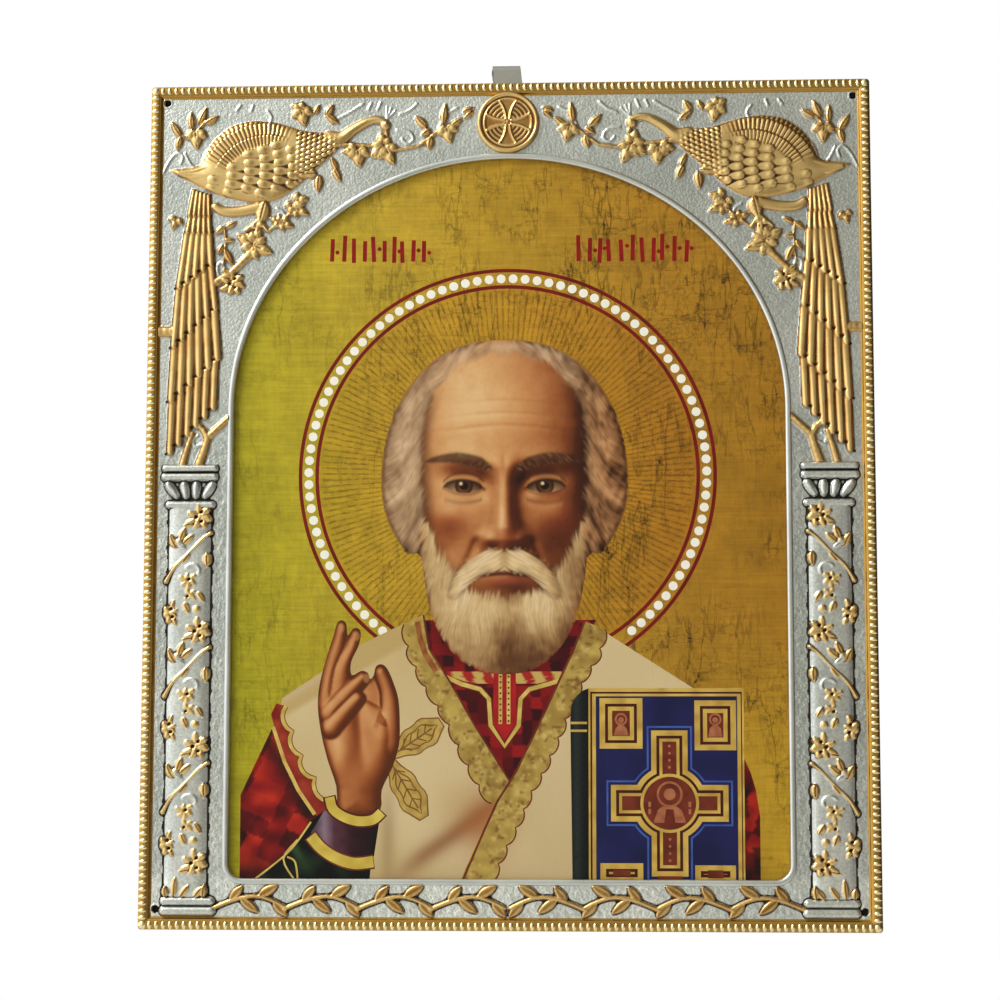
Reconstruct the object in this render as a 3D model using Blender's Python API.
"""Icon panel: a printed picture on a board, under an embossed metal cover, with a strip hanger.

Metres, +Z up. The front faces -Y and +X is to the right. The origin is the inner top of the
hanger's eye, where the panel hangs.
"""

import math

import bmesh
import bpy
from mathutils.geometry import delaunay_2d_cdt

MM = 0.001
GAP = 0.0003  # clearance between pieces that touch

# The panel
PANEL_WIDTH = 0.200
PANEL_HEIGHT = 0.233
BOARD_THICK = 0.0055
CARD_THICK = 0.0008
SHEET_THICK = 0.0008  # the cover's flat ground
WALL_THICK = 0.0006  # the cover's turned-down sides
HEM_WIDTH = 0.005  # the part folded over the board's back
HEM_THICK = 0.0006

# The window
WINDOW_SIDE = 0.0243  # from the panel's side to the window
WINDOW_BELOW = 0.0138
WINDOW_ABOVE = 0.0215
ARCH_RISE = 0.070
WINDOW_CORNER = 0.004
LIP_WIDTH = 0.0018
LIP_HEIGHT = 0.0009

# The rim
RIM_BAND = 0.0019
BEAD_BAND = 0.0016
RIM_HEIGHT = 0.0013
BEAD_HEIGHT = 0.0009

# The corner nail holes
NAIL_HOLE_DIAMETER = 0.002
NAIL_HOLE_INSET = 0.0046

# The medallion
MEDALLION_RADIUS = 0.0088
MEDALLION_RING = 0.0018
MEDALLION_DROP = 0.0112  # from the panel's top edge to its centre
MEDALLION_HEIGHT = 0.0011
CROSS_REACH = 0.0064

# The columns
COLUMN_AXIS = 0.0127  # from the panel's side
SHAFT_WIDTH = 0.0115
SHAFT_HEIGHT = 0.0008
CAPITAL_DROP = 0.1067  # from the panel's top edge to the top of the capital
CAPITAL_WIDTH = 0.0163
BASE_WIDTH = 0.0153
BASE_SHIFT = 0.0008  # the base stands further in than the shaft
SLAB_HEIGHT = 0.0013
VINE_PERIOD = 0.0313
VINE_HEIGHT = 0.0012

# The garland under the window
GARLAND_RISE = 0.0078  # from the panel's bottom edge to its middle
GARLAND_SWING = 0.0016
GARLAND_PERIOD = 0.0215
GARLAND_LEAF = 0.0047
GARLAND_HEIGHT = 0.0009

# The birds and their foliage
BODY_HEIGHT = 0.0016
SCALE_STEP = 0.0003
TAIL_HEIGHT = 0.0010
LEAF_HEIGHT = 0.0009
LONG_LEAF = 0.0062  # leaves above this length get one more point a side
BRANCH_HEIGHT = 0.0007

# The hanger and its tack
STRIP_WIDTH = 0.0078
STRIP_THICK = 0.0008
STRIP_SKEW = 0.0015  # how far the rear leg leans past the front one
EYE_DEPTH = 0.0048  # clear width inside the eye, front to rear
EYE_INNER_TOP = 0.0066  # above the panel's top edge
EYE_BEND = 0.0012
LEG_LENGTH = 0.0145
TACK_SHANK = 0.0016
TACK_HEAD = 0.0048
TACK_HEAD_HEIGHT = 0.0012
TACK_FROM_END = 0.004  # from the lower end of the strip's legs
TACK_DEPTH = 0.0042  # into the board

# Levels from the board's back at y = 0 towards the front
BOARD_FRONT = -BOARD_THICK
CARD_BACK = BOARD_FRONT - GAP
CARD_FRONT = CARD_BACK - CARD_THICK
SHEET_BACK = CARD_FRONT - GAP
SHEET_FRONT = SHEET_BACK - SHEET_THICK
HEM_FRONT = GAP
HEM_BACK = HEM_FRONT + HEM_THICK

HALF_WIDTH = PANEL_WIDTH / 2
TOP = PANEL_HEIGHT / 2
BOTTOM = -PANEL_HEIGHT / 2
BOARD_WIDTH = PANEL_WIDTH - 2 * (WALL_THICK + GAP)
BOARD_HEIGHT = PANEL_HEIGHT - 2 * (WALL_THICK + GAP)
FRONT_LEG_Y = HEM_BACK + GAP + STRIP_THICK / 2
REAR_LEG_Y = FRONT_LEG_Y + STRIP_THICK + GAP
EYE_Y = (FRONT_LEG_Y + REAR_LEG_Y) / 2

# The panel's centre, measured from the point it hangs on
PANEL_PLACE = (0.0, -EYE_Y, -(TOP + EYE_INNER_TOP))


def clear_scene():
    for item in list(bpy.data.objects):
        bpy.data.objects.remove(item, do_unlink=True)


def make_material(name, colour, roughness, metallic):
    material = bpy.data.materials.new(name)
    material.use_nodes = True
    shader = material.node_tree.nodes["Principled BSDF"]
    shader.inputs["Base Color"].default_value = (*colour, 1.0)
    shader.inputs["Roughness"].default_value = roughness
    shader.inputs["Metallic"].default_value = metallic
    return material


def add_object(name, mesh, material):
    item = bpy.data.objects.new(name, mesh)
    item.location = PANEL_PLACE
    mesh.materials.append(material)
    bpy.context.scene.collection.objects.link(item)
    return item


def mesh_from(name, points, faces):
    mesh = bpy.data.meshes.new(name)
    mesh.from_pydata(points, [], faces)
    shape = bmesh.new()
    shape.from_mesh(mesh)
    bmesh.ops.remove_doubles(shape, verts=shape.verts, dist=1e-7)
    bmesh.ops.recalc_face_normals(shape, faces=shape.faces)
    shape.to_mesh(mesh)
    shape.free()
    return mesh


def slab_mesh(name, width, height, rear, front):
    """A flat slab around the panel's centre, between two levels."""
    shape = bmesh.new()
    bmesh.ops.create_cube(shape, size=1.0)
    bmesh.ops.scale(shape, vec=(width, abs(front - rear), height), verts=shape.verts)
    bmesh.ops.translate(shape, vec=(0, (front + rear) / 2, 0), verts=shape.verts)
    mesh = bpy.data.meshes.new(name)
    shape.to_mesh(mesh)
    shape.free()
    return mesh


def cut_round_hole(item, diameter, x, z, front, rear):
    """Bore a round hole along Y with a hidden cutter."""
    shape = bmesh.new()
    bmesh.ops.create_cone(
        shape, cap_ends=True, segments=14, radius1=diameter / 2, radius2=diameter / 2, depth=rear - front
    )
    turn = ((1, 0, 0), (0, 0, 1), (0, -1, 0))
    for vert in shape.verts:
        vert.co = [sum(a * b for a, b in zip(row, vert.co)) for row in turn]
    bmesh.ops.translate(shape, vec=(x, (front + rear) / 2, z), verts=shape.verts)
    bmesh.ops.recalc_face_normals(shape, faces=shape.faces)
    mesh = bpy.data.meshes.new(item.name + "_cutter")
    shape.to_mesh(mesh)
    shape.free()
    cutter = bpy.data.objects.new(item.name + "_cutter", mesh)
    cutter.location = item.location
    cutter.hide_render = True
    cutter.display_type = "WIRE"
    bpy.context.scene.collection.objects.link(cutter)
    cut = item.modifiers.new("hole", "BOOLEAN")
    cut.operation = "DIFFERENCE"
    cut.object = cutter


def smooth_path(points, steps, closed=False):
    """Points along a curve that passes through the given ones."""
    count = len(points)
    spans = count if closed else count - 1
    curve = []
    for i in range(spans):
        if closed:
            four = [points[(i + k - 1) % count] for k in range(4)]
        else:
            four = [points[min(max(i + k - 1, 0), count - 1)] for k in range(4)]
        for step in range(steps):
            t = step / steps
            weights = (
                (-t + 2 * t**2 - t**3) / 2,
                (2 - 5 * t**2 + 3 * t**3) / 2,
                (t + 4 * t**2 - 3 * t**3) / 2,
                (-(t**2) + t**3) / 2,
            )
            curve.append(tuple(sum(w * p[k] for w, p in zip(weights, four)) for k in (0, 1)))
    if not closed:
        curve.append(tuple(points[-1]))
    return curve


def distance_to_segment(x, z, a, b):
    dx, dz = b[0] - a[0], b[1] - a[1]
    length = dx * dx + dz * dz
    t = 0.0
    if length > 0:
        t = min(1.0, max(0.0, ((x - a[0]) * dx + (z - a[1]) * dz) / length))
    return math.hypot(x - a[0] - t * dx, z - a[1] - t * dz), t


def depth_inside(x, z, outline):
    """How far a point is inside a closed outline, or 0 outside it."""
    inside = False
    nearest = 1.0
    for i, a in enumerate(outline):
        b = outline[i - 1]
        if (a[1] > z) != (b[1] > z):
            if x < (b[0] - a[0]) * (z - a[1]) / (b[1] - a[1]) + a[0]:
                inside = not inside
        nearest = min(nearest, distance_to_segment(x, z, a, b)[0])
    return nearest if inside else 0.0


def shrink(outline, inset):
    """The outline moved inwards along the normals of its points."""
    count = len(outline)
    area = sum(outline[i - 1][0] * outline[i][1] - outline[i][0] * outline[i - 1][1] for i in range(count))
    side = 1 if area > 0 else -1
    moved = []
    for i in range(count):
        a, b = outline[i - 1], outline[(i + 1) % count]
        dx, dz = b[0] - a[0], b[1] - a[1]
        length = math.hypot(dx, dz)
        moved.append((outline[i][0] - side * dz / length * inset, outline[i][1] + side * dx / length * inset))
    return moved


class Relief:
    """The lines that the relief's facets follow, and the raised forms between them."""

    def __init__(self):
        self.points = []
        self.edges = []
        self.forms = []

    def line(self, points, closed=False):
        first = len(self.points)
        self.points.extend((p[0], p[1]) for p in points)
        last = len(self.points) - 1
        self.edges.extend((i, i + 1) for i in range(first, last))
        if closed:
            self.edges.append((last, first))

    def form(self, points, rise):
        xs = [p[0] for p in points]
        zs = [p[1] for p in points]
        self.forms.append((min(xs), max(xs), min(zs), max(zs), rise))

    def height(self, x, z):
        top = 0.0
        for low_x, high_x, low_z, high_z, rise in self.forms:
            if low_x <= x <= high_x and low_z <= z <= high_z:
                top = max(top, rise(x, z))
        return top

    def leaf(self, base, tip, width, height=LEAF_HEIGHT):
        """A pointed leaf with a raised midrib."""
        length = math.hypot(tip[0] - base[0], tip[1] - base[1])
        ux, uz = (tip[0] - base[0]) / length, (tip[1] - base[1]) / length

        def half(t):
            return width / 2 * math.sin(math.pi * t**0.85)

        def place(t, side):
            return (base[0] + ux * length * t - uz * side, base[1] + uz * length * t + ux * side)

        stops = (0.22, 0.55, 0.82) if length > LONG_LEAF else (0.32, 0.72)
        outline = [base] + [place(t, half(t)) for t in stops] + [tip]
        outline += [place(t, -half(t)) for t in reversed(stops)]
        self.line(outline, closed=True)
        self.line([base, place(0.5, 0), tip])

        def rise(x, z):
            t = ((x - base[0]) * ux + (z - base[1]) * uz) / length
            across = abs((z - base[1]) * ux - (x - base[0]) * uz)
            if not 0.0 < t < 1.0 or half(t) <= across:
                return 0.0
            return height * (1 - across / half(t)) * min(1.0, 5 * t, 5 * (1 - t))

        self.form(outline, rise)

    def boss(self, centre, radius, height=LEAF_HEIGHT, sides=7):
        """A low round dome."""

        def ring(share):
            turns = [2 * math.pi * i / sides for i in range(sides)]
            return [
                (centre[0] + radius * share * math.cos(a), centre[1] + radius * share * math.sin(a))
                for a in turns
            ]

        self.line(ring(1.0), closed=True)
        self.line([centre])

        def rise(x, z):
            share = math.hypot(x - centre[0], z - centre[1]) / radius
            return height * (1 - share) if share < 1 else 0.0

        self.form(ring(1.0), rise)

    def flower(self, centre, radius, height=VINE_HEIGHT, petals=4):
        """A round flower: petals that rise to a ring around a sunk middle."""
        sides = 2 * petals
        reach = [radius if i % 2 == 0 else radius * 0.78 for i in range(sides)]
        turns = [2 * math.pi * i / sides for i in range(sides)]
        outline = [(centre[0] + r * math.cos(a), centre[1] + r * math.sin(a)) for r, a in zip(reach, turns)]
        inner = [
            (centre[0] + radius * 0.45 * math.cos(a), centre[1] + radius * 0.45 * math.sin(a))
            for a in turns[::2]
        ]
        self.line(outline, closed=True)
        self.line(inner, closed=True)
        self.line([centre])

        def rise(x, z):
            depth = depth_inside(x, z, outline)
            share = math.hypot(x - centre[0], z - centre[1]) / radius
            dish = 0.6 + 0.4 * min(1.0, share / 0.45)
            return height * min(1.0, depth / (radius * 0.3)) * dish

        self.form(outline, rise)

    def branch(self, path, widths, height=BRANCH_HEIGHT):
        """A round stem along a path, with a width at each of its points."""
        count = len(path)
        left, right = [], []
        for i in range(count):
            a, b = path[max(i - 1, 0)], path[min(i + 1, count - 1)]
            dx, dz = b[0] - a[0], b[1] - a[1]
            length = math.hypot(dx, dz)
            nx, nz = -dz / length * widths[i] / 2, dx / length * widths[i] / 2
            left.append((path[i][0] + nx, path[i][1] + nz))
            right.append((path[i][0] - nx, path[i][1] - nz))
        self.line(left + right[::-1], closed=True)
        self.line(path)

        def rise(x, z):
            top = 0.0
            for i in range(count - 1):
                distance, t = distance_to_segment(x, z, path[i], path[i + 1])
                half = (widths[i] * (1 - t) + widths[i + 1] * t) / 2
                if distance < half:
                    top = max(top, height * math.sqrt(1 - (distance / half) ** 2))
            return top if top > height * 0.2 else 0.0

        self.form(left + right, rise)

    def plume(self, root, tip, width, height=TAIL_HEIGHT):
        """One tubular tail feather with a round tip."""
        length = math.hypot(tip[0] - root[0], tip[1] - root[1])
        ux, uz = (tip[0] - root[0]) / length, (tip[1] - root[1]) / length

        def place(along, side):
            return (root[0] + ux * along - uz * side, root[1] + uz * along + ux * side)

        half = width / 2
        neck = length - half
        outline = [place(0, half), place(neck, half), place(length, 0), place(neck, -half), place(0, -half)]
        self.line(outline, closed=True)
        self.line([place(0, 0), place(neck, 0)])

        def rise(x, z):
            along = (x - root[0]) * ux + (z - root[1]) * uz
            side = abs((z - root[1]) * ux - (x - root[0]) * uz)
            if not 0.0 <= along <= length:
                return 0.0
            edge = half if along < neck else half * (length - along) / half
            if side >= edge:
                return 0.0
            return height * (1 - (side / edge) ** 2) * (0.55 + 0.45 * along / length)

        self.form(outline, rise)

    def slab(self, low_x, high_x, low_z, high_z, height=SLAB_HEIGHT, bevel=0.0005):
        """A raised bar with sloped edges."""
        outline = [(low_x, low_z), (high_x, low_z), (high_x, high_z), (low_x, high_z)]
        inner = [
            (low_x + bevel, low_z + bevel),
            (high_x - bevel, low_z + bevel),
            (high_x - bevel, high_z - bevel),
            (low_x + bevel, high_z - bevel),
        ]
        self.line(outline, closed=True)
        self.line(inner, closed=True)

        def rise(x, z):
            depth = min(x - low_x, high_x - x, z - low_z, high_z - z)
            return height * min(1.0, max(0.0, depth / bevel))

        self.form(outline, rise)


def from_corner(points):
    """Figures are set out in millimetres in from the panel's left side and down from its top."""
    return [(-HALF_WIDTH + x * MM, TOP - z * MM) for x, z in points]


def window_outline(grow=0.0):
    """The left half of the window's edge, from the top of the arch to the middle of its foot."""
    half = HALF_WIDTH - WINDOW_SIDE + grow
    spring = TOP - WINDOW_ABOVE - ARCH_RISE
    rise = ARCH_RISE + grow
    foot = BOTTOM + WINDOW_BELOW - grow
    corner = WINDOW_CORNER + grow
    arch_steps = 22
    corner_steps = 4
    points = []
    for i in range(arch_steps + 1):
        turn = math.pi / 2 * i / arch_steps
        points.append((-half * math.sin(turn), spring + rise * math.cos(turn)))
    for i in range(corner_steps + 1):
        turn = math.pi / 2 * i / corner_steps
        points.append((-half + corner * (1 - math.cos(turn)), foot + corner * (1 - math.sin(turn))))
    points.append((0.0, foot))
    points[0] = (0.0, spring + rise)
    return points


def add_window(relief):
    edge = window_outline()
    relief.line(edge)
    for share in (0.35, 1.0):
        relief.line(window_outline(LIP_WIDTH * share))
    box = [(-HALF_WIDTH, TOP), (0.0, BOTTOM)]

    def rise(x, z):
        distance = min(distance_to_segment(x, z, edge[i], edge[i + 1])[0] for i in range(len(edge) - 1))
        share = distance / LIP_WIDTH
        if share >= 1.0:
            return 0.0
        return LIP_HEIGHT * min(1.0, 0.4 + share * 1.8, (1 - share) / 0.6)

    relief.form(box, rise)


def add_rim(relief):
    """A half-round band, then the band that carries the row of beads."""
    insets = (
        0.0,
        RIM_BAND * 0.2,
        RIM_BAND * 0.5,
        RIM_BAND * 0.8,
        RIM_BAND,
        RIM_BAND + BEAD_BAND * 0.5,
        RIM_BAND + BEAD_BAND,
    )
    for inset in insets:
        relief.line(
            [
                (0.0, TOP - inset),
                (-HALF_WIDTH + inset, TOP - inset),
                (-HALF_WIDTH + inset, BOTTOM + inset),
                (0.0, BOTTOM + inset),
            ]
        )

    def rise(x, z):
        inset = min(x + HALF_WIDTH, TOP - z, z - BOTTOM)
        if inset < RIM_BAND:
            across = 2 * inset / RIM_BAND - 1
            return max(RIM_HEIGHT * math.sqrt(max(0.0, 1 - across**2)), BEAD_HEIGHT * 0.3 * (across > 0))
        across = abs(2 * (inset - RIM_BAND) / BEAD_BAND - 1)
        return BEAD_HEIGHT * max(0.0, 1 - across) + BEAD_HEIGHT * 0.3 * (inset < RIM_BAND * 1.01)

    relief.form([(-HALF_WIDTH, TOP), (0.0, BOTTOM)], rise)


def nail_centres():
    x = -HALF_WIDTH + NAIL_HOLE_INSET
    return [(x, TOP - NAIL_HOLE_INSET), (x, BOTTOM + NAIL_HOLE_INSET)]


def add_nail_holes(relief):
    sides = 12
    for cx, cz in nail_centres():
        turns = [2 * math.pi * i / sides for i in range(sides)]
        radius = NAIL_HOLE_DIAMETER / 2
        relief.line([(cx + radius * math.cos(a), cz + radius * math.sin(a)) for a in turns], closed=True)


def add_medallion(relief):
    """A round disc with a raised rim and a cross of four arms that widen outwards."""
    cz = TOP - MEDALLION_DROP
    inner = MEDALLION_RADIUS - MEDALLION_RING
    radii = (MEDALLION_RADIUS, MEDALLION_RADIUS - MEDALLION_RING * 0.5, inner)
    sides = 24
    for radius in radii:
        turns = [2 * math.pi * i / sides for i in range(sides)]
        relief.line([(radius * math.cos(a), cz + radius * math.sin(a)) for a in turns], closed=True)

    def rise(x, z):
        distance = math.hypot(x, z - cz)
        if distance >= MEDALLION_RADIUS:
            return 0.0
        across = (MEDALLION_RADIUS - distance) / MEDALLION_RING
        band = MEDALLION_HEIGHT * min(1.0, across / 0.4, 0.45 + max(0.0, (1 - across) / 0.5) * 0.55)
        return band if across < 1 else MEDALLION_HEIGHT * 0.45

    relief.form([(-MEDALLION_RADIUS, cz - MEDALLION_RADIUS), (MEDALLION_RADIUS, TOP)], rise)
    waist = CROSS_REACH * 0.09
    flare = CROSS_REACH * 0.46
    for ux, uz in ((-1, 0), (0, 1), (0, -1), (1, 0)):

        def place(along, side, ux=ux, uz=uz):
            return (ux * along - uz * side, cz + uz * along + ux * side)

        stops = (0.12, 0.45, 0.75, 1.0)
        halves = [waist + (flare - waist) * t**2.2 for t in stops]
        upper = [place(CROSS_REACH * t, h) for t, h in zip(stops, halves)]
        lower = [place(CROSS_REACH * t, -h) for t, h in zip(stops, halves)]
        outline = upper + lower[::-1]
        relief.line(outline, closed=True)
        relief.line([place(CROSS_REACH * t, 0) for t in stops])

        def arm(x, z, outline=outline):
            depth = depth_inside(x, z, outline)
            return MEDALLION_HEIGHT * (0.45 + 0.85 * min(1.0, depth / 0.0007)) if depth > 0 else 0.0

        relief.form(outline, arm)


BIRD_OUTLINE = (
    (50.0, 15.5), (44.6, 12.8), (40.0, 13.4), (33.5, 11.6), (27.0, 11.0), (20.0, 14.0), (16.0, 19.0),
    (13.6, 24.0), (5.8, 24.7), (10.0, 27.4), (14.4, 30.2), (18.0, 32.2), (24.0, 33.6), (31.0, 33.7),
    (38.0, 32.4), (43.2, 29.0), (46.0, 25.5), (48.2, 21.5), (50.4, 18.5),
)


def add_bird(relief):
    """A peacock in profile: the body with its wing, the neck, the head, a leg and the tail."""
    outline = smooth_path(from_corner(BIRD_OUTLINE), 2, closed=True)
    relief.line(outline, closed=True)
    for inset in (0.0008, 0.0024):
        relief.line(shrink(outline, inset)[::2], closed=True)

    def dome(x, z):
        depth = depth_inside(x, z, outline)
        share = 1 - min(1.0, depth / 0.005)
        return BODY_HEIGHT * math.sqrt(1 - share**2) if depth > 0 else 0.0

    relief.form(outline, dome)
    wing_rows = (
        # along the row from the breast: first root, last root, how many, feather length, feather width
        ((48.0, 16.8), (46.4, 23.4), 3, 4.0, 2.8),
        ((44.6, 15.6), (43.6, 27.0), 4, 5.2, 3.1),
        ((39.8, 15.2), (39.0, 29.6), 5, 6.2, 3.2),
        ((33.8, 14.4), (33.2, 30.8), 5, 8.0, 3.5),
        ((26.6, 13.8), (26.0, 30.6), 5, 9.0, 3.6),
        ((19.4, 17.6), (19.6, 28.6), 4, 7.6, 3.0),
    )
    for first, last, count, length, width in wing_rows:
        for i in range(count):
            t = i / (count - 1)
            root = (first[0] + (last[0] - first[0]) * t, first[1] + (last[1] - first[1]) * t)
            lean = math.radians(14 - 26 * t)
            tip = (root[0] - length * math.cos(lean), root[1] + length * math.sin(lean))
            add_wing_feather(relief, from_corner([root])[0], from_corner([tip])[0], width * MM, dome)
    neck = from_corner([(48.0, 17.0), (53.0, 15.0), (58.0, 12.0), (63.0, 10.4), (66.4, 11.6)])
    relief.branch(smooth_path(neck, 2), [MM * w for w in (7, 5.2, 4, 3.2, 2.4, 2.1, 1.9, 1.9, 1.9)], 0.0013)
    relief.boss(from_corner([(66.5, 12.2)])[0], 0.0016, 0.0014, 9)
    relief.leaf(*from_corner([(67.0, 12.6), (67.2, 16.2)]), 0.0013)
    relief.leaf(*from_corner([(31.0, 34.2), (18.0, 35.0)]), 0.0032)
    relief.branch(from_corner([(32.0, 33.5), (31.4, 36.6), (30.5, 40.0)]), [0.0026, 0.0017, 0.0014])
    for tip in ((27.4, 41.4), (30.2, 43.2), (33.4, 41.2)):
        relief.leaf(*from_corner([(30.6, 39.2), tip]), 0.0013)


def add_wing_feather(relief, root, tip, width, dome):
    """One overlapping feather: its round end stands a step above the one it covers."""
    length = math.hypot(tip[0] - root[0], tip[1] - root[1])
    ux, uz = (tip[0] - root[0]) / length, (tip[1] - root[1]) / length

    def place(along, side):
        return (root[0] + ux * along - uz * side, root[1] + uz * along + ux * side)

    def arc(grow):
        reach = length - width / 2
        turns = [math.radians(a) for a in (-72, 0, 72)]
        radius = width / 2 + grow
        return [place(reach + radius * math.cos(a), radius * math.sin(a)) for a in turns]

    relief.line([place(length * 0.35, -width / 2)] + arc(0.0) + [place(length * 0.35, width / 2)])
    relief.line(arc(0.00022))

    def rise(x, z):
        along = (x - root[0]) * ux + (z - root[1]) * uz
        side = abs((z - root[1]) * ux - (x - root[0]) * uz)
        reach = length - width / 2
        if along < 0 or side > width / 2 + 1e-6:
            return 0.0
        if along > reach and math.hypot(along - reach, side) > width / 2 + 1e-6:
            return 0.0
        under = dome(x, z)
        if under <= 0.0:
            return 0.0
        return under + SCALE_STEP * (0.25 + 0.75 * along / length)

    relief.form(arc(0.0) + [place(0, -width / 2), place(0, width / 2)], rise)


TAIL_TIERS = (
    # left edge and right edge at the tier's top, then the same at its round tips, and how many plumes
    ((12.0, 30.0), (17.4, 31.0), (9.6, 42.5), (17.6, 41.0), 4),
    ((9.6, 40.5), (17.8, 39.5), (8.0, 56.5), (17.6, 49.5), 5),
    ((7.4, 55.0), (19.0, 48.5), (6.5, 74.0), (18.8, 61.0), 5),
    ((6.2, 72.5), (20.2, 59.8), (6.2, 89.0), (20.4, 75.5), 5),
    ((6.0, 87.5), (20.6, 74.0), (5.8, 103.5), (18.6, 89.0), 5),
)


def add_tail(relief):
    """Tiers of long plumes; each tier's round tips end over the roots of the next, with an eye."""
    for top_left, top_right, end_left, end_right, count in TAIL_TIERS:
        for i in range(count):
            t = (i + 0.5) / count
            root = [a + (b - a) * t for a, b in zip(top_left, top_right)]
            tip = [a + (b - a) * t for a, b in zip(end_left, end_right)]
            root, tip = from_corner([root, tip])
            width = (end_right[0] - end_left[0]) / count * MM * 1.02
            relief.plume(root, tip, width)


FOLIAGE_LEAVES = (
    # root, tip and width of each leaf
    ((8.5, 14.5), (5.6, 10.6), 2.6), ((8.5, 14.5), (9.0, 8.4), 2.6), ((11.5, 14.0), (14.2, 9.4), 2.8),
    ((14.2, 9.4), (19.6, 8.0), 2.6), ((12.5, 14.6), (13.6, 19.6), 3.4), ((8.4, 15.0), (9.6, 19.4), 3.0),
    ((44.0, 8.6), (39.8, 6.6), 3.0), ((44.0, 8.6), (41.6, 11.8), 2.6), ((44.4, 8.4), (46.4, 5.4), 2.4),
    ((49.0, 8.0), (52.4, 11.2), 3.0), ((49.0, 8.0), (50.6, 5.0), 2.4),
    ((64.6, 19.5), (60.8, 23.8), 3.6), ((65.4, 19.5), (67.8, 25.0), 3.6), ((64.8, 19.5), (60.2, 19.6), 3.2),
    ((66.0, 19.0), (68.4, 14.8), 2.8), ((58.0, 20.8), (54.6, 22.6), 3.0), ((58.0, 20.8), (58.0, 26.4), 3.4),
    ((48.5, 25.6), (45.4, 28.4), 3.4), ((48.5, 26.0), (49.4, 32.0), 3.4), ((50.8, 26.0), (54.2, 29.8), 3.0),
    ((40.2, 35.4), (37.6, 32.8), 2.4), ((40.2, 35.4), (44.6, 33.0), 2.8), ((38.6, 39.6), (35.0, 40.4), 2.8),
    ((38.6, 39.6), (42.4, 37.0), 2.8), ((21.4, 40.4), (19.0, 43.6), 2.6), ((21.4, 40.4), (24.6, 44.4), 2.8),
    ((22.0, 46.0), (24.0, 51.4), 2.8), ((7.6, 39.6), (9.8, 37.0), 2.2),
    ((76.4, 13.0), (75.4, 9.0), 2.6), ((78.0, 14.8), (75.0, 18.6), 3.0), ((80.4, 11.8), (82.2, 5.6), 2.8),
    ((82.4, 12.4), (85.6, 15.8), 3.0), ((82.0, 12.4), (79.6, 16.2), 2.8), ((84.0, 11.2), (89.0, 7.4), 3.0),
    ((30.0, 45.4), (25.2, 43.0), 3.2), ((30.0, 45.4), (27.6, 49.8), 3.0), ((30.6, 45.0), (35.6, 47.4), 3.2),
    ((30.6, 45.0), (33.6, 41.8), 3.0), ((31.0, 46.6), (32.4, 51.4), 2.8),
    ((20.2, 55.4), (17.0, 50.6), 2.4), ((24.6, 53.4), (22.4, 57.8), 2.8),
)
FOLIAGE_STEMS = (
    # the path of each stem, and its width
    (((52.0, 17.0), (60.0, 18.0), (67.0, 18.2), (73.0, 18.0), (79.0, 16.0), (82.0, 12.4), (86.0, 9.6)), 1.1),
    (((19.0, 56.0), (24.0, 52.6), (28.2, 48.0), (30.6, 45.0)), 1.7),
    (((0.0035, 69.6), (6.6, 69.6)), 2.6),
    (((10.0, 106.6), (11.4, 100.6), (13.0, 96.0)), 2.0),
    (((15.0, 106.6), (16.4, 101.6), (17.6, 98.4), (23.0, 93.2)), 2.0),
    (((17.4, 98.6), (14.4, 95.2)), 1.8),
)


def add_foliage(relief):
    for root, tip, width in FOLIAGE_LEAVES:
        relief.leaf(*from_corner([root, tip]), width * MM)
    for path, width in FOLIAGE_STEMS:
        points = from_corner(path)
        relief.branch(points, [width * MM] * len(points))
    relief.flower(from_corner([(24.0, 57.4)])[0], 0.0026, LEAF_HEIGHT)


def column_x():
    return -HALF_WIDTH + COLUMN_AXIS


def add_column(relief):
    """A capital of two bars over a row of leaves, a round shaft and a base of two bars."""
    x = column_x()
    top = TOP - CAPITAL_DROP
    half = CAPITAL_WIDTH / 2
    bar = 0.0020
    relief.slab(x - half, x + half, top - bar, top)
    relief.slab(x - half + 0.0005, x + half - 0.0005, top - bar - 0.0023, top - bar - 0.0004, 0.0011)
    leaf_top = top - 2 * bar - 0.0006
    leaf_foot = leaf_top - 0.0044
    inner = SHAFT_WIDTH / 2
    for i in range(4):
        share = -1 + 2 * (i + 0.5) / 4
        foot = (x + inner * share, leaf_foot)
        tip = (x + (inner * share) * 1.32, leaf_top)
        relief.leaf(foot, tip, 0.0031, 0.0012)
    ring_top = leaf_foot - 0.0002
    relief.slab(x - 0.0071, x + 0.0071, ring_top - 0.0020, ring_top, 0.0012)
    shaft_top = ring_top - 0.0022
    shaft_foot = BOTTOM + 0.0088
    for share in (-1.0, -0.7, 0.0, 0.7, 1.0):
        relief.line([(x + inner * share, shaft_top), (x + inner * share, shaft_foot)])
    relief.line([(x - inner, shaft_top), (x + inner, shaft_top)])
    relief.line([(x - inner, shaft_foot), (x + inner, shaft_foot)])

    def rise(px, pz):
        across = abs(px - x) / inner
        return SHAFT_HEIGHT * math.sqrt(max(0.0, 1 - across**2)) if across < 1 else 0.0

    relief.form([(x - inner, shaft_top), (x + inner, shaft_foot)], rise)
    low, high = x + BASE_SHIFT - BASE_WIDTH / 2, x + BASE_SHIFT + BASE_WIDTH / 2
    relief.slab(low + 0.0004, high - 0.0004, BOTTOM + 0.0066, BOTTOM + 0.0086, 0.0012)
    relief.slab(low, high, BOTTOM + 0.0038, BOTTOM + 0.0062)
    add_vine(relief, x, shaft_top, shaft_foot)


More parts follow.
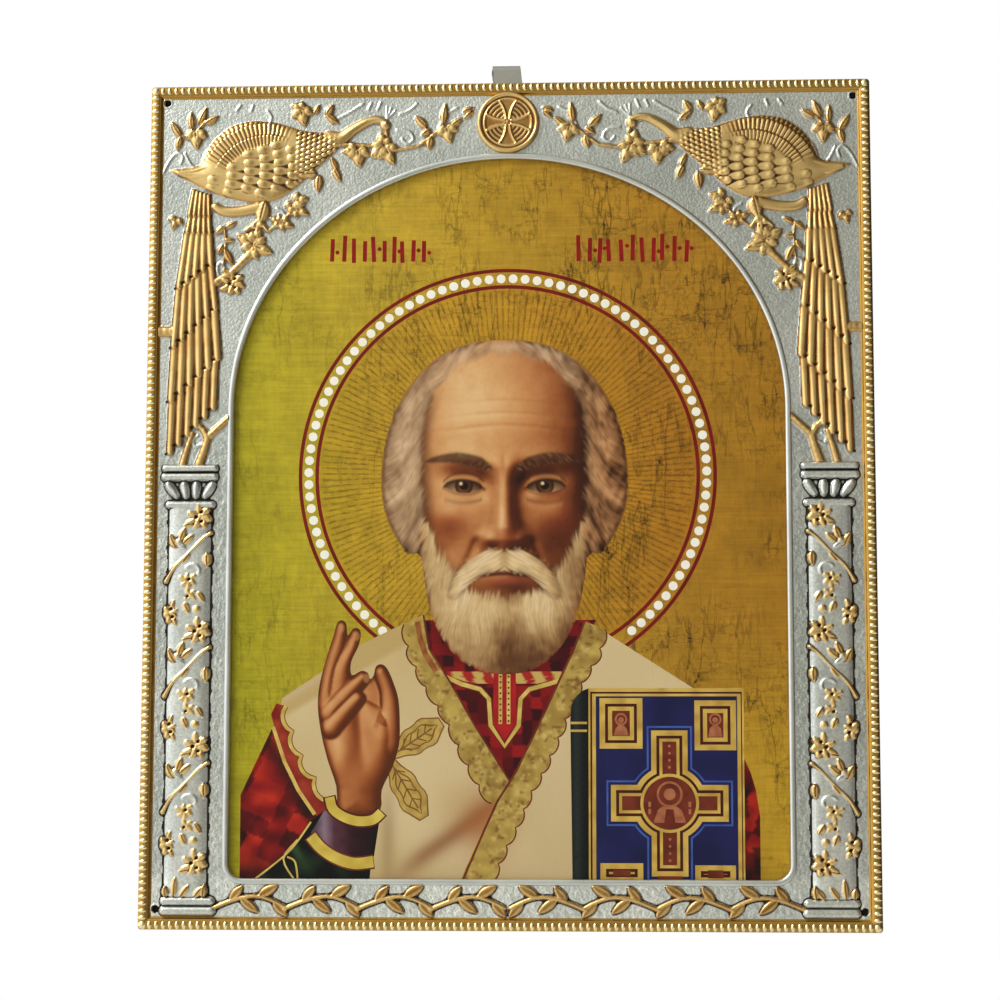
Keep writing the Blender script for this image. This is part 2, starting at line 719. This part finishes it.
def add_vine(relief, x, top, foot):
    """A vine winds round the shaft: on each turn a rose, leaves, a stem across and a bunch of grapes."""
    reach = SHAFT_WIDTH * 0.41
    level = SHAFT_HEIGHT + VINE_HEIGHT * 0.5

    def leaf(z, root, tip, width):
        relief.leaf((x + root[0] * MM, z + root[1] * MM), (x + tip[0] * MM, z + tip[1] * MM), width * MM, level)

    turns = int((top - foot) / VINE_PERIOD) + 1
    for turn in range(turns):
        z = top - 0.0024 - turn * VINE_PERIOD
        if z - 0.0024 > foot:
            relief.flower((x + 0.0034, z), 0.0025, level)
        if z - 0.0105 > foot:
            leaf(z, (-2.4, -4.8), (-5.6, -2.8), 2.6)
            leaf(z, (-2.4, -4.8), (-3.4, -8.8), 3.0)
            leaf(z, (-2.0, -4.8), (1.4, -6.6), 2.8)
        if z - 0.0195 > foot:
            path = [(x + reach, z - 0.0052), (x, z - 0.0112), (x - reach, z - 0.0172)]
            relief.branch(path, [0.0014] * 3, level)
            leaf(z, (2.2, -9.6), (5.6, -11.8), 2.2)
        if z - 0.0265 > foot:
            add_grapes(relief, x - 0.0006, z - 0.0178, level)
            leaf(z, (1.2, -16.6), (5.4, -18.4), 2.6)
        if z - 0.0292 > foot:
            relief.flower((x - 0.0035, z - 0.0268), 0.0024, level)


def add_grapes(relief, x, z, height):
    """A bunch in rows of fewer and fewer grapes."""
    step = 0.0019
    for row, count in enumerate((2, 2, 1)):
        for i in range(count):
            cx = x + (i - (count - 1) / 2) * step + row * 0.0008
            relief.boss((cx, z - row * step), step * 0.54, height, 5)


def add_garland(relief):
    """A wavy stem under the window, with leaves by turns above and below it."""
    middle = BOTTOM + GARLAND_RISE
    end = column_x() + BASE_SHIFT + BASE_WIDTH / 2 + 0.0012

    def wave(x):
        return middle + GARLAND_SWING * math.sin(2 * math.pi * x / GARLAND_PERIOD + 0.6)

    step = GARLAND_PERIOD / 6
    count = int(-end / step)
    path = [(-i * step, wave(-i * step)) for i in range(count + 1)][::-1]
    relief.branch(path, [0.0009] * len(path), GARLAND_HEIGHT * 0.7)
    spacing = GARLAND_LEAF * 0.72
    leaves = int((-end - GARLAND_LEAF) / spacing)
    for i in range(leaves):
        x = end + GARLAND_LEAF * 0.3 + i * spacing
        side = 1 if i % 2 == 0 else -1
        root = (x, wave(x))
        tip = (x + GARLAND_LEAF * 0.86, wave(x) + side * GARLAND_LEAF * 0.5)
        relief.leaf(root, tip, GARLAND_LEAF * 0.46, GARLAND_HEIGHT)


def relief_surface():
    """Triangles of the left half of the cover's front, then both halves joined."""
    relief = Relief()
    relief.line([(0.0, TOP), (0.0, BOTTOM)])
    add_rim(relief)
    add_window(relief)
    add_nail_holes(relief)
    add_medallion(relief)
    add_bird(relief)
    add_tail(relief)
    add_foliage(relief)
    add_column(relief)
    add_garland(relief)
    merge = 0.00004
    points, _, faces, _, _, _ = delaunay_2d_cdt(relief.points, relief.edges, [], 0, merge)
    window = window_outline()
    window = window + [(0.01, window[-1][1]), (0.01, window[0][1])]
    holes = nail_centres()
    radius = NAIL_HOLE_DIAMETER / 2
    kept = []
    for face in faces:
        x = sum(points[i][0] for i in face) / 3
        z = sum(points[i][1] for i in face) / 3
        outside = x > 0 or x < -HALF_WIDTH or abs(z) > TOP
        in_hole = any(math.hypot(x - cx, z - cz) < radius * 0.99 for cx, cz in holes)
        if not outside and not in_hole and depth_inside(x, z, window) == 0.0:
            kept.append(face)
    corners = []
    for x, z in points:
        x = 0.0 if abs(x) < merge / 4 else x
        corners.append((x, SHEET_FRONT - relief.height(x, z), z))
    shape = bmesh.new()
    for side in (1, -1):
        verts = {}
        for face in kept:
            for i in face:
                if i not in verts:
                    verts[i] = shape.verts.new((side * corners[i][0], corners[i][1], corners[i][2]))
            shape.faces.new([verts[i] for i in face][::side])
    bmesh.ops.remove_doubles(shape, verts=shape.verts, dist=1e-6)
    return shape


def open_loops(shape):
    """The open edges of a sheet, as closed loops of points."""
    after = {}
    for edge in shape.edges:
        if len(edge.link_faces) == 1:
            loop = edge.link_loops[0]
            after[loop.vert] = loop.link_loop_next.vert
    loops = []
    while after:
        start, end = after.popitem()
        loop = [start]
        while end is not start:
            loop.append(end)
            end = after.pop(end)
        loops.append(loop)
    return loops


def cover_mesh():
    """The relief, its flat rear, the turned-down sides and the hem, as one closed sheet."""
    shape = relief_surface()
    loops = open_loops(shape)
    outer = max(loops, key=lambda loop: max(abs(vert.co.x) for vert in loop))
    flat_points = []
    flat_edges = []
    rear_verts = []
    for loop in loops:
        if loop is outer:
            continue
        rear = [shape.verts.new((vert.co.x, SHEET_BACK, vert.co.z)) for vert in loop]
        count = len(loop)
        for i in range(count):
            j = (i + 1) % count
            shape.faces.new((loop[j], loop[i], rear[i], rear[j]))
        first = len(flat_points)
        flat_points.extend((vert.co.x, vert.co.z) for vert in rear)
        flat_edges.extend((first + i, first + (i + 1) % count) for i in range(count))
        rear_verts.extend(rear)

    def ring(inset, y):
        verts = []
        for vert in outer:
            x = max(-HALF_WIDTH + inset, min(HALF_WIDTH - inset, vert.co.x))
            z = max(BOTTOM + inset, min(TOP - inset, vert.co.z))
            verts.append(shape.verts.new((x, y, z)))
        return verts

    rings = [
        outer,
        ring(0.0, HEM_BACK),
        ring(HEM_WIDTH, HEM_BACK),
        ring(HEM_WIDTH, HEM_FRONT),
        ring(WALL_THICK, HEM_FRONT),
        ring(WALL_THICK, SHEET_BACK),
    ]
    count = len(outer)
    for ahead, behind in zip(rings, rings[1:]):
        for i in range(count):
            j = (i + 1) % count
            shape.faces.new((ahead[j], ahead[i], behind[i], behind[j]))
    first = len(flat_points)
    flat_points.extend((vert.co.x, vert.co.z) for vert in rings[-1])
    flat_edges.extend((first + i, first + (i + 1) % count) for i in range(count))
    rear_verts.extend(rings[-1])
    _, _, faces, origins, _, _ = delaunay_2d_cdt(flat_points, flat_edges, [], 0, 1e-7)
    window = [vert.co for vert in max((loop for loop in loops if loop is not outer), key=len)]
    window = [(co.x, co.z) for co in window]
    holes = [(side * cx, cz) for cx, cz in nail_centres() for side in (1, -1)]
    for face in faces:
        source = [origins[i][0] for i in face]
        x = sum(flat_points[i][0] for i in source) / 3
        z = sum(flat_points[i][1] for i in source) / 3
        in_hole = any(math.hypot(x - cx, z - cz) < NAIL_HOLE_DIAMETER / 2 for cx, cz in holes)
        if not in_hole and depth_inside(x, z, window) == 0.0:
            shape.faces.new([rear_verts[i] for i in source])
    bmesh.ops.recalc_face_normals(shape, faces=shape.faces)
    mesh = bpy.data.meshes.new("cover")
    shape.to_mesh(mesh)
    shape.free()
    return mesh


def hanger_path():
    """The strip's middle line as y, z and sideways shift, up the front leg and down the rear one."""
    front_y = EYE_Y - EYE_DEPTH / 2 - STRIP_THICK / 2
    rear_y = EYE_Y + EYE_DEPTH / 2 + STRIP_THICK / 2
    crown = EYE_INNER_TOP + STRIP_THICK / 2
    low_front = GAP + STRIP_THICK / 2
    low_rear = low_front + STRIP_THICK + GAP
    clear = HEM_WIDTH + 0.0009
    path = [
        (low_front, -LEG_LENGTH),
        (low_front, -clear - 0.0014),
        (FRONT_LEG_Y, -clear),
        (FRONT_LEG_Y, 0.0008),
        (front_y, 0.0021),
    ]
    steps = 3
    for i in range(steps + 1):
        turn = math.pi / 2 * i / steps
        path.append((front_y + EYE_BEND * (1 - math.cos(turn)), crown - EYE_BEND * (1 - math.sin(turn))))
    for i in range(steps + 1):
        turn = math.pi / 2 * (1 - i / steps)
        path.append((rear_y - EYE_BEND * (1 - math.cos(turn)), crown - EYE_BEND * (1 - math.sin(turn))))
    path += [
        (rear_y, 0.0021),
        (REAR_LEG_Y, 0.0008),
        (REAR_LEG_Y, -clear),
        (low_rear, -clear - 0.0014),
        (low_rear, -LEG_LENGTH + 0.0012),
    ]
    lengths = [0.0]
    for a, b in zip(path, path[1:]):
        lengths.append(lengths[-1] + math.hypot(b[0] - a[0], b[1] - a[1]))
    shifts = []
    for length, point in zip(lengths, path):
        share = min(1.0, max(0.0, (length / lengths[-1] - 0.35) / 0.3))
        rise = min(1.0, max(0.0, point[1] / EYE_INNER_TOP))
        shifts.append(-0.0002 - STRIP_SKEW * share * rise)
    return [(y, z, shift) for (y, z), shift in zip(path, shifts)]


def hanger_mesh():
    path = hanger_path()
    count = len(path)
    points = []
    for i, (y, z, shift) in enumerate(path):
        a, b = path[max(i - 1, 0)], path[min(i + 1, count - 1)]
        here = math.hypot(b[0] - a[0], b[1] - a[1])
        ny, nz = -(b[1] - a[1]) / here, (b[0] - a[0]) / here
        half = STRIP_THICK / 2
        if 0 < i < count - 1:
            before = math.hypot(y - a[0], z - a[1])
            cosine = ((y - a[0]) * (b[0] - a[0]) + (z - a[1]) * (b[1] - a[1])) / (before * here)
            half /= max(0.5, cosine)
        for side_x, side in ((-1, -1), (1, -1), (1, 1), (-1, 1)):
            points.append((shift + side_x * STRIP_WIDTH / 2, y + ny * side * half, TOP + z + nz * side * half))
    faces = [(0, 1, 2, 3), tuple(4 * (count - 1) + k for k in (3, 2, 1, 0))]
    for i in range(count - 1):
        for k in range(4):
            m = (k + 1) % 4
            faces.append((4 * i + k, 4 * i + 4 + k, 4 * i + 4 + m, 4 * i + m))
    return mesh_from("hanger", points, faces)


def tack_mesh():
    """A shank with a pointed end and a domed head, turned about Y."""
    head_y = GAP + 2 * STRIP_THICK + 2 * GAP
    tip_y = -TACK_DEPTH
    profile = [(0.0, tip_y), (TACK_SHANK / 2, tip_y + 0.0012), (TACK_SHANK / 2, head_y), (TACK_HEAD / 2, head_y)]
    steps = 4
    for i in range(1, steps + 1):
        turn = math.pi / 2 * i / steps
        profile.append((TACK_HEAD / 2 * math.cos(turn), head_y + 0.0003 + TACK_HEAD_HEIGHT * math.sin(turn)))
    profile[-1] = (0.0, profile[-1][1])
    sides = 16
    z = TOP - LEG_LENGTH + TACK_FROM_END
    points = []
    for radius, y in profile:
        for i in range(sides):
            turn = 2 * math.pi * i / sides
            points.append((radius * math.cos(turn), y, z + radius * math.sin(turn)))
    faces = []
    for row in range(len(profile) - 1):
        for i in range(sides):
            j = (i + 1) % sides
            faces.append((row * sides + i, row * sides + j, (row + 1) * sides + j, (row + 1) * sides + i))
    mesh = mesh_from("hanger_tack", points, faces)
    mesh.shade_smooth()
    mesh.set_sharp_from_angle(angle=math.radians(40))
    return mesh


def build():
    clear_scene()
    wood = make_material("board_wood", (0.45, 0.31, 0.19), 0.8, 0.0)
    print_card = make_material("printed_card", (0.55, 0.43, 0.09), 0.35, 0.0)
    silver = make_material("silver_gilt_sheet", (0.72, 0.70, 0.60), 0.35, 1.0)
    tin = make_material("tinned_steel", (0.62, 0.63, 0.62), 0.4, 1.0)
    steel = make_material("tack_steel", (0.55, 0.52, 0.45), 0.35, 1.0)
    board = add_object("board", slab_mesh("board", BOARD_WIDTH, BOARD_HEIGHT, 0.0, BOARD_FRONT), wood)
    bore = TACK_SHANK + 2 * GAP
    tack_z = TOP - LEG_LENGTH + TACK_FROM_END
    cut_round_hole(board, bore, 0.0, tack_z, -TACK_DEPTH - GAP, 0.001)
    add_object("picture", slab_mesh("picture", BOARD_WIDTH, BOARD_HEIGHT, CARD_BACK, CARD_FRONT), print_card)
    add_object("cover", cover_mesh(), silver)
    hanger = add_object("hanger", hanger_mesh(), tin)
    cut_round_hole(hanger, bore, 0.0, tack_z, -0.001, 0.004)
    add_object("hanger_tack", tack_mesh(), steel)


build()
